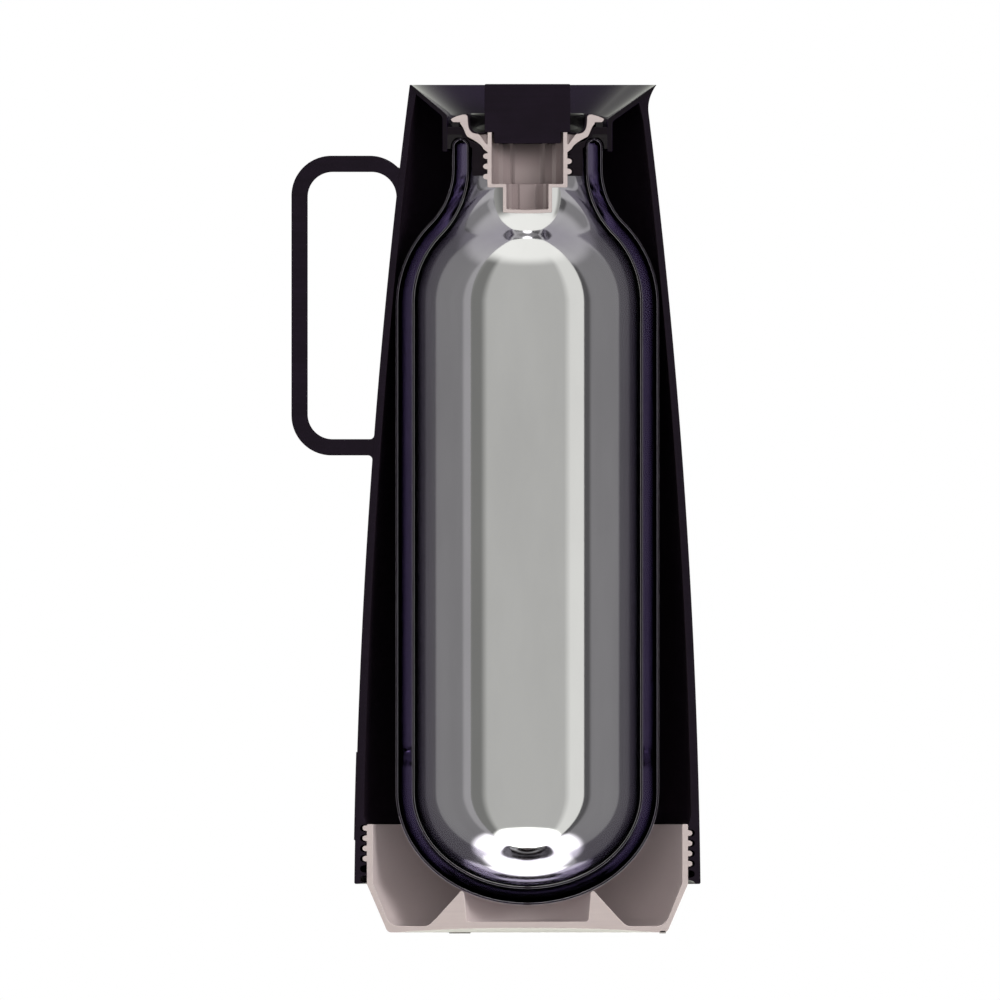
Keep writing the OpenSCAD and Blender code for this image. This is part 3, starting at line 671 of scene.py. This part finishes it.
# A face of the flask, set in from its outside: rounded bottom, wall, shoulder and neck.
def flaskFace(inset, n=40):
    deep = inset * flask["bodyWall"] / flask["doubleWall"]
    hubR, curveR = flask["radius"] - flask["shoulderRound"], flask["neckRadius"] + flask["neckRound"]
    reach, across = flask["shoulderRound"] - deep + flask["neckRound"] + inset, curveR - hubR
    rise = sqrt(reach * reach - across * across)
    turn = atan2(rise, across) * 180 / pi
    curveZ = flaskTop - flask["neckHeight"]
    bottomZ = flask["low"] + flask["bottomHeight"]
    wide, high = flask["radius"] - deep, flask["bottomHeight"] - deep
    turns = [radians(-90 + 90 * i / n) for i in range(n + 1)]
    bottom = [(wide * cos(a), bottomZ + high * sin(a)) for a in turns]
    shoulderZ = curveZ - rise
    wall = [(wide, bottomZ + (shoulderZ - bottomZ) * i / 30) for i in range(1, 30)]
    return bottom + wall + arc(hubR, shoulderZ, flask["shoulderRound"] - deep, 0, turn, 30) \
        + arc(curveR, curveZ, flask["neckRound"] + inset, 180 + turn, 180, 20)[1:]


# A vessel's ring goes up its outer face, over its rim, and down its inner face.
def makeVessel(name, outer, outerRim, inner, innerRim, face):
    ring = outer + outerRim + innerRim + list(reversed(inner))
    return turnedPiece(name, ring, face, glassSawn)


# The drink's side of the inner vessel is seen through clear glass, the rest is bare silver.
# "outward" is away from the flask's middle, where height counts less than distance from the axis.
def isVacuumSide(c, n):
    middleZ, heightShare = 0.14, 0.3
    outward = n.x * c.x + n.y * c.y + n.z * (c.z - middleZ) * heightShare
    return outward > 0 and c.z < (flaskTop - rimBead) * mm


glassT, deep = flask["glass"], flask["doubleWall"]
outerVessel = makeVessel(
    "outerVessel", flaskFace(0), arc(beadR, beadZ, rimBead, 0, 90, 8), flaskFace(glassT),
    arc(beadR, beadZ, rimBead - glassT, 90, 0, 8), silverOutside)
innerVessel = makeVessel(
    "innerVessel", flaskFace(deep - glassT), arc(beadR, beadZ, rimBead - glassT, 180, 90, 8), flaskFace(deep),
    arc(beadR, beadZ, rimBead, 90, 180, 8), silverInside)
paintFaces(innerVessel, silverOutside, isVacuumSide)
for vessel, node, slotName in ((outerVessel, "outer_vessel", "outer_glass"),
                               (innerVessel, "inner_vessel", "inner_glass")):
    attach(vessel, "flask")
    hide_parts(node)
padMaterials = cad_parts["spacer_pad"].data.materials
padMaterials.clear()
padMaterials.append(silverOutside)
print("flask made")


# Screw base.

base = {"top": 38.2, "wall": 2, "wallExtra": 0.6, "footR": 49.6, "footRound": 2, "tread": 4.2, "arch": 1.55,
        "trough": 2.5, "troughRound": 5, "ringFoot": 35, "ringTop": 23.2, "wellR": 21.4, "wellDraft": 0.8,
        "wellZ": 4.1, "wellRound": 1.2, "low": 0.35, "flaskGap": 0.3}


# The support ring's top follows the flask's bottom, a small gap off.
def flaskUnder(r):
    wide, high = flask["radius"] + base["flaskGap"], flask["bottomHeight"] + base["flaskGap"]
    return flask["low"] + flask["bottomHeight"] - high * sqrt(1 - (r / wide) ** 2)


def makeBase():
    low, inR, footR, topZ = base["low"], baseR - base["wall"], base["footR"], base["top"]
    treadIn, footRound = footR - base["tread"], base["footRound"]
    slant = (baseR - footR) / (footZ - low)
    floorZ, floorRound = base["trough"], base["troughRound"]
    midZ = floorZ + floorRound
    troughR = footR - base["wall"] - base["wallExtra"] + slant * (midZ - low) - floorRound
    under = [(treadIn * i / 24, low + base["arch"] * (1 - (i / 24) ** 2.5)) for i in range(25)]
    foot = arc(footR - footRound, low + footRound, footRound, -90, -20, 8)
    threadLow, threadTop = footZ + 0.5, topZ - 0.5
    rows = threadRows(threads["baseFirst"], range(0, 4), threadLow, threadTop, threads["half"])
    wall = [(baseR, z) for z in rows]
    top = [(baseR, topZ - 0.4), (baseR - 0.12, topZ - 0.12), (baseR - 0.4, topZ), (inR + 0.2, topZ),
           (inR, topZ - 0.2), (inR, footZ + 0.4)]
    trough = arc(troughR, midZ, floorRound, -15, -90, 14)
    rampLow, rampHigh = (base["ringFoot"] + 2, floorZ), (base["ringFoot"] - 3, floorZ + 2.7)
    ramp = bend(rampLow, rampHigh, (0.6, 0), (0.6, 0.4), 10)
    wellTop, turnR = base["wellR"] + base["wellDraft"], base["wellRound"]
    well = [(r, flaskUnder(r)) for r in (base["ringTop"], wellTop)] \
        + arc(base["wellR"] - turnR, base["wellZ"] + turnR, turnR, 0, -90, 8) + [(0, base["wellZ"])]
    section = (under + foot + [(baseR, footZ)], wall, top + trough + ramp + well)
    return threadedPiece("screwBase", section, (mauvePlastic, mauveSawn), threads["half"],
                         threads["baseFirst"], threadLow, threadTop, **{"Lowest tooth": 0.0})


screwBase = makeBase()
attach(screwBase, "base")
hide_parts("screw_base")


# Rubber feet.

feet = {"ringR": 47.4, "width": 2.2, "angle": 4.6, "thick": 1.0, "corner": 0.35}


def makeFoot(name, at, node):
    inR, outR = feet["ringR"] - feet["width"] / 2, feet["ringR"] + feet["width"] / 2
    ring = rounded([(inR, 0), (outR, 0), (outR, feet["thick"]), (inR, feet["thick"])], feet["corner"])
    foot = turnedPiece(name, ring, footRubber, footSawn, Steps=12,
                       From=radians(max(0, at - feet["angle"])), To=radians(at + feet["angle"]))
    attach(foot, "base")
    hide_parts(node)


makeFoot("footPadRight", 0, "foot_pad_right")
makeFoot("footPadRear", 120, "foot_pad_rear")
print("base made")


# Stopper.

# the webs and ribs stand at bearings in degrees from straight back
stopper = {"cupWall": 1.5, "wellR": 8.6, "wellWall": 1.3, "stepDepth": 17.2, "wellHeight": 8.8, "floor": 1.2,
           "bow": 0.3, "dish": 0.5, "plugR": 11.7, "plugHeight": 3.9, "knobTop": 297.3, "grooveDepth": 4.1,
           "webs": (17, 40, 63, 86), "webHalf": 2, "webBelow": 0.7,
           "cupRibs": ((-52, -33), (-24, 24), (33, 52)), "cupRibHeight": 1.5,
           "wellRibs": ((-62, -42), (-25, 25), (42, 62)), "wellRibHeight": 1.0}
stepZ = flaskTop - stopper["stepDepth"]
wellZ = stepZ - stopper["wellHeight"]
cupFloorZ, wellFloorZ = stepZ + stopper["floor"], wellZ + stopper["floor"]
cupIn, wellR = cupR - stopper["cupWall"], stopper["wellR"]
wellIn = wellR - stopper["wellWall"]
grooveZ, plugLow = cupTop - stopper["grooveDepth"], cupTop - stopper["plugHeight"]
ribTop = plugLow - 0.3


def makeCup():
    threadTop, bow = lipFoot[1] - 1.3, stopper["bow"]
    wall = [(cupR, z) for z in threadRows(cupFirst, range(0, 3), stepZ + 0.6, threadTop, threads["half"])]
    before = [(0, wellZ - bow), (wellR * 0.5, wellZ - bow * 0.75), (wellR - 0.4, wellZ),
              (wellR - 0.1, wellZ + 0.12), (wellR, wellZ + 0.4), (wellR, stepZ), (cupR - 0.3, stepZ),
              (cupR, stepZ + 0.3)]
    waist = (neckIn + 0.5, flaskTop + 0.5)
    under = bend(lipFoot, waist, (0.08, 0.35), (0.6, 0.75)) \
        + bend(waist, lipLand, (0.35, 0.17), (0.5, 0.75))[1:]
    tip = [(sealIn - 0.3, landZ), (tipR - 1.5, landZ), (tipR - 0.9, landZ + 0.5), (tipR - 0.7, landZ + 1.0),
           (tipR - 1.0, landZ + 1.4), (lipCrest[0] + 4, flaskTop + 7.7)]
    groove = [(lipHollow[0] - 0.7, cupTop - 0.9), (cupR + 0.4, grooveZ), (cupR - 0.05, grooveZ),
              (cupR - 0.05, cupTop)]
    inside = [(cupIn, cupTop), (cupIn, ribTop + 0.1), (cupIn, ribTop), (cupIn, cupFloorZ + 0.25),
              (cupIn - 0.25, cupFloorZ), (wellIn + 0.2, cupFloorZ), (wellIn, cupFloorZ - 0.2),
              (wellIn, wellFloorZ + 0.3), (wellIn - 0.3, wellFloorZ), (0, wellFloorZ - bow)]
    after = [(cupR, lipFoot[1] - 1.2)] + under + tip + lipRoll + lipInner[1:] + groove + inside
    # the cup's moulded faces take the mauve painted darker as shade
    return threadedPiece(
        "stopperCup", (before, wall, after), (cupPlasticPaintedShade, mauveSawn), threads["half"], cupFirst,
        stepZ + 0.4, threadTop, **{"Lowest tooth": 0.0, "Highest tooth": 2.0, "Run-in turn": 0.4})


def makeKnob():
    lining = moved(lipRoll[3:] + lipInner[1:], -0.05, 0.05)
    face = moved(lining, -stopper["dish"], stopper["dish"])
    plugR, top = stopper["plugR"], stopper["knobTop"]
    plug = [(0, plugLow), (plugR - 0.3, plugLow), (plugR, plugLow + 0.3), (plugR, cupTop),
            (knobR - 0.2, cupTop), (knobR, lining[-1][1])]
    cap = [(knobR, face[-1][1]), (knobR, top - 0.5)] + arc(knobR - 0.5, top - 0.5, 0.5, 10, 90, 4)
    cap.append((0, top))
    return turnedPiece("stopperKnob", plug + list(reversed(lining)) + face + cap, blackGloss, blackSawn)


# Broad flat ribs down the inside of the cup and of its well, and thin webs across the groove under the lip.
def raiseRibs(piece):
    bores = ((cupIn, cupFloorZ, ribTop, stopper["cupRibs"], stopper["cupRibHeight"]),
             (wellIn, wellFloorZ, cupFloorZ, stopper["wellRibs"], stopper["wellRibHeight"]))
    for vertex in piece.data.vertices:
        x, y, z = [c / mm for c in vertex.co]
        r, turn = hypot(x, y), atan2(x, y) * 180 / pi
        onGroove = cupR - 0.15 < r < cupR + 0.5 and abs(z - grooveZ) < 0.1
        if onGroove and any(abs(abs(turn) - web) <= stopper["webHalf"] for web in stopper["webs"]):
            vertex.co.z += (stopper["grooveDepth"] - stopper["webBelow"]) * mm
        for bore, low, high, ribs, lift in bores:
            onWall = bore - 0.32 < r < bore + 0.3 and low - 0.05 < z < high + 0.05
            if onWall and any(start <= turn <= end for start, end in ribs):
                vertex.co.x -= lift * mm * x / r
                vertex.co.y -= lift * mm * y / r


stopperCup = makeCup()
raiseRibs(stopperCup)
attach(stopperCup, "stopper")
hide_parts("stopper_cup")
stopperKnob = makeKnob()
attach(stopperKnob, "stopper")
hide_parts("stopper_knob")
print("stopper made")


# Handle: a strap with rounded outer edges, sawn through its middle.

handle = {"reach": 82.6, "below": 24.8, "height": 104.9, "strap": 5.7, "halfWidth": 11,
          "outerRound": 14, "innerRound": 8.7, "rootRound": 1.5, "edgeRound": 1.7, "sink": 0.03,
          "crease": 40}


# The strap's outline, drawn back all round. A point's third value says if it lies on the shell.
def handleOutline(back):
    top = rimZ - handle["below"] - back
    low = rimZ - handle["below"] - handle["height"] + back
    inX = handle["strap"] - handle["reach"] - back
    inTop = top + back - handle["strap"] + back
    inLow = low - back + handle["strap"] - back
    outX = -handle["reach"] + back
    outRound, inRound = handle["outerRound"] - back, handle["innerRound"] + back
    root = handle["rootRound"] + back
    # over the upper arm the top face bends down to the shell on the same round as the corners
    hubX, hubZ = -jug["rimRadius"] - handle["outerRound"], top - outRound
    meet = 0.0
    for i in range(900):
        meet = i / 10
        if hubX + outRound * cos(radians(meet)) <= -sideR(hubZ + outRound * sin(radians(meet))):
            break
    upper = arc(hubX, hubZ, outRound, meet, 90, 12)
    outerRoot = arc(-sideR(low - root) - root, low - root, root, 90, 0, 6)
    innerRoot = arc(-sideR(inLow + root) - root, inLow + root, root, 0, -90, 6)
    corner = arc(-sideR(inTop - inRound) - inRound, inTop - inRound, inRound, 90, 0, 20)

    def downShell(start, end, n):
        heights = [start + (end - start) * i / n for i in range(1, n)]
        return [(-sideR(z), z) for z in heights]

    stretches = [
        (upper[:1], 1), (upper[1:], 0), (arc(outX + outRound, top - outRound, outRound, 90, 180, 24), 0),
        (arc(outX + outRound, low + outRound, outRound, 180, 270, 24), 0),
        (outerRoot[:-1], 0), (outerRoot[-1:], 1),
        (downShell(low - root, inLow + root, 10), 1), (innerRoot[:1], 1), (innerRoot[1:], 0),
        (arc(inX + inRound, inLow + inRound, inRound, 270, 180, 20), 0),
        (arc(inX + inRound, inTop - inRound, inRound, 180, 90, 20), 0), (corner[:-1], 0), (corner[-1:], 1),
        (downShell(corner[-1][1], upper[0][1], 12), 1)]
    return [(x, z, onShell) for points, onShell in stretches for x, z in points]


def makeHandle():
    width, edge, cut = handle["halfWidth"], handle["edgeRound"], finish["cutEdge"]
    layers = [(0, cut), (cut, 0), (width * 0.3, 0), (width * 0.6, 0)]
    turns = [radians(a) for a in range(0, 91, 15)]
    layers += [(width - edge + edge * sin(a), edge * (1 - cos(a))) for a in turns]
    bm = bmesh.new()
    rings = []
    for y, back in layers:
        ring = []
        for x, z, onShell in handleOutline(back):
            if onShell:
                x = -sqrt(sideR(z) ** 2 - y * y) + handle["sink"]
            ring.append(bm.verts.new((x * mm, y * mm, z * mm)))
        rings.append(ring)
    for a, b in zip(rings, rings[1:]):
        for i in range(len(a)):
            k = (i + 1) % len(a)
            bm.faces.new((a[i], a[k], b[k], b[i]))
    bm.faces.new(rings[0])
    bm.faces.new(list(reversed(rings[-1])))
    mesh = bpy.data.meshes.new("handleStrap")
    bm.to_mesh(mesh)
    bm.free()
    mesh.materials.append(blackSatin)
    return closeUp(newObject("handleStrap", mesh), blackSawn, crease=handle["crease"])


handleStrap = makeHandle()
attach(handleStrap, "jug")
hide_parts("handle")
print("handle made")


# Studio: pale floor with a painted glow for mirrors, soft light all round, camera square on to the cut.

studio = {"calm": 0.88, "strip": 1.4, "dimStrip": 0.36, "behind": 0.22, "tint": (0.975, 1.0, 0.9),
          "box": 7.0, "boxLow": 50, "boxFull": 56, "boxWide": 0.5,
          # the floor's painted glow for mirrors: its level near the jug, and the distances where it gives way
          # to the strips
          "table": 1.74, "tableNear": 0.12, "tableFar": 0.215,
          "tableColour": "#eeedeb", "tableRadius": 3.0, "tableDrop": 0.0002,
          "softLow": 10, "softHigh": 60, "behindLow": 15, "behindHigh": 50,
          "soft": 0.42, "softTop": 0.85, "lamp": 1.9, "lampTurn": 45, "lampHeight": 18, "lampSize": 24,
          "fill": 0.85, "fillTurn": 0, "fillHeight": 8, "fillSize": 50,
          "viewHeight": 0.1517, "viewSide": -0.0096, "viewWidth": 0.35, "viewAway": 1.0}


# What a mirror sees round the jug at each bearing: a bright strip on one side, a dim one on the other.
def stripLevel(tree, x, y):
    ahead = addNode(tree, "MULTIPLY", [y, -1.0])
    bearing = addNode(tree, "DEGREES", [addNode(tree, "ARCTAN2", [x, ahead])])
    place = addNode(tree, "ShaderNodeMapRange", [bearing, -180.0, 180.0])
    ramp = addNode(tree, "ShaderNodeValToRGB", [place])
    calm, strip, dim = studio["calm"], studio["strip"], studio["dimStrip"]
    # each bearing in degrees from the front, and the level there
    stops = [(-180, calm), (-80, calm), (-67, calm * 0.7), (-62, strip), (-45, strip), (-38, calm),
             (41.5, calm), (48.5, dim), (58, dim), (66, calm * 0.6), (100, calm), (180, calm)]
    band = ramp.color_ramp
    while len(band.elements) < len(stops):
        band.elements.new(0.5)
    for element, (angle, level) in zip(band.elements, stops):
        element.position = (angle + 180) / 360
        element.color = (level / 2, level / 2, level / 2, 1)
    return addNode(tree, "MULTIPLY", [ramp, 2.0])


def makeWorld():
    world = bpy.data.worlds.new("studio")
    scene.world = world
    world.use_nodes = True
    tree = world.node_tree
    tree.nodes.clear()
    toward = addNode(tree, "ShaderNodeTexCoord").outputs["Generated"]
    way = addNode(tree, "ShaderNodeSeparateXYZ", [toward])
    rise = addNode(tree, "DEGREES", [addNode(tree, "ARCSINE", [way.outputs["Z"]])])

    # for mirrors: the strips, and a strong soft box above the front
    strips = stripLevel(tree, way.outputs["X"], way.outputs["Y"])
    up = addNode(tree, "MAXIMUM", [way.outputs["Z"], 0.05])
    sideways = addNode(tree, "DIVIDE", [way.outputs["X"], up])
    aside = addNode(tree, "ABSOLUTE", [sideways])
    ahead = addNode(tree, "MULTIPLY", [way.outputs["Y"], -1.0])
    forward = addNode(tree, "DIVIDE", [ahead, up])
    soft = {"interpolation_type": "SMOOTHSTEP"}
    high = addNode(tree, "ShaderNodeMapRange", [rise, studio["boxLow"], studio["boxFull"]], **soft)
    wide = studio["boxWide"]
    narrow = addNode(tree, "ShaderNodeMapRange", [aside, wide - 0.1, wide + 0.1, 1.0, 0.0], **soft)
    front = addNode(tree, "ShaderNodeMapRange", [forward, -0.05, 0.15], **soft)
    overhead = addNode(tree, "MULTIPLY", [high, narrow])
    box = addNode(tree, "MULTIPLY", [overhead, front])
    above = addNode(tree, "ShaderNodeMapRange", [rise, studio["behindLow"], studio["behindHigh"]], **soft)
    back = addNode(tree, "ShaderNodeMapRange", [way.outputs["Y"], 0.0, 0.2], **soft)
    backAbove = addNode(tree, "MULTIPLY", [above, back])
    dimmed = addNode(tree, "ShaderNodeMix", {0: backAbove, 2: strips, 3: studio["behind"]}, data_type="FLOAT")
    mirrored = addNode(tree, "ShaderNodeMix", {0: box, 2: dimmed, 3: studio["box"]}, data_type="FLOAT")
    tinted = addNode(tree, "ShaderNodeVectorMath", {0: studio["tint"], 3: mirrored}, operation="SCALE")

    # for everything dull: soft light that grows overhead
    spread = [rise] + [studio[name] for name in ("softLow", "softHigh", "soft", "softTop")]
    dull = addNode(tree, "ShaderNodeMapRange", spread, **soft)

    path = addNode(tree, "ShaderNodeLightPath")
    glossy, direct, white = path.outputs["Is Glossy Ray"], path.outputs["Is Camera Ray"], (1, 1, 1, 1)
    seen = addNode(tree, "ShaderNodeMix", {0: glossy, 6: dull, 7: tinted}, data_type="RGBA")
    shown = addNode(tree, "ShaderNodeMix", {0: direct, 6: seen.outputs[2], 7: white}, data_type="RGBA")
    background = addNode(tree, "ShaderNodeBackground", {"Color": shown.outputs[2], "Strength": 1.0})
    addNode(tree, "ShaderNodeOutputWorld", [background])


# A lamp far off that only dull surfaces answer to; the mirrors keep their own calm surroundings.
def makeLamp(name):
    data = bpy.data.lights.new(name, "SUN")
    data.energy, data.angle = studio[name], radians(studio[name + "Size"])
    turn, lift = radians(studio[name + "Turn"]), radians(studio[name + "Height"])
    lamp = newObject(name, data)
    toward = Vector((sin(turn) * cos(lift), -cos(turn) * cos(lift), sin(lift)))
    lamp.rotation_euler = toward.to_track_quat("Z", "Y").to_euler()
    lamp.visible_glossy = False


def makeFloor():
    mesh = bpy.data.meshes.new("floor")
    bm = bmesh.new()
    bmesh.ops.create_circle(bm, cap_ends=True, segments=96, radius=studio["tableRadius"])
    bm.to_mesh(mesh)
    bm.free()
    floor = newObject("floor", mesh)
    floor.location.z = -studio["tableDrop"]
    material, tree, surface = newMaterial("white studio table, glowing to mirrors", Roughness=0.6, Specular_IOR_Level=0.2)
    surface.inputs["Base Color"].default_value = toLinear(studio["tableColour"])
    # Mirrors see the floor as a painted glow, bright near the jug and striped farther out; other rays see the
    # lit white floor.
    place = addNode(tree, "ShaderNodeTexCoord").outputs["Object"]
    spot = addNode(tree, "ShaderNodeSeparateXYZ", [place])
    strips = stripLevel(tree, spot.outputs["X"], spot.outputs["Y"])
    length = addNode(tree, "ShaderNodeVectorMath", [place], operation="LENGTH").outputs["Value"]
    far = addNode(tree, "ShaderNodeMapRange", [length, studio["tableNear"], studio["tableFar"]],
                  interpolation_type="SMOOTHSTEP")
    level = addNode(tree, "ShaderNodeMix", {0: far, 2: studio["table"], 3: strips}, data_type="FLOAT")
    path = addNode(tree, "ShaderNodeLightPath")
    emission = addNode(tree, "ShaderNodeEmission", {"Color": (*studio["tint"], 1), "Strength": level})
    mixed = addNode(tree, "ShaderNodeMixShader", [path.outputs["Is Glossy Ray"], surface, emission])
    tree.links.new(mixed.outputs[0], tree.nodes["Material Output"].inputs[0])
    mesh.materials.append(material)


def makeCamera():
    data = bpy.data.cameras.new("camera")
    data.type = "ORTHO"
    data.ortho_scale = studio["viewWidth"]
    camera = newObject("camera", data)
    camera.location = (studio["viewSide"], -studio["viewAway"], studio["viewHeight"])
    camera.rotation_euler = (pi / 2, 0, 0)
    scene.camera = camera


makeWorld()
makeLamp("lamp")
makeLamp("fill")
makeFloor()
makeCamera()
scene.view_settings.view_transform = "Standard"
print("studio made")
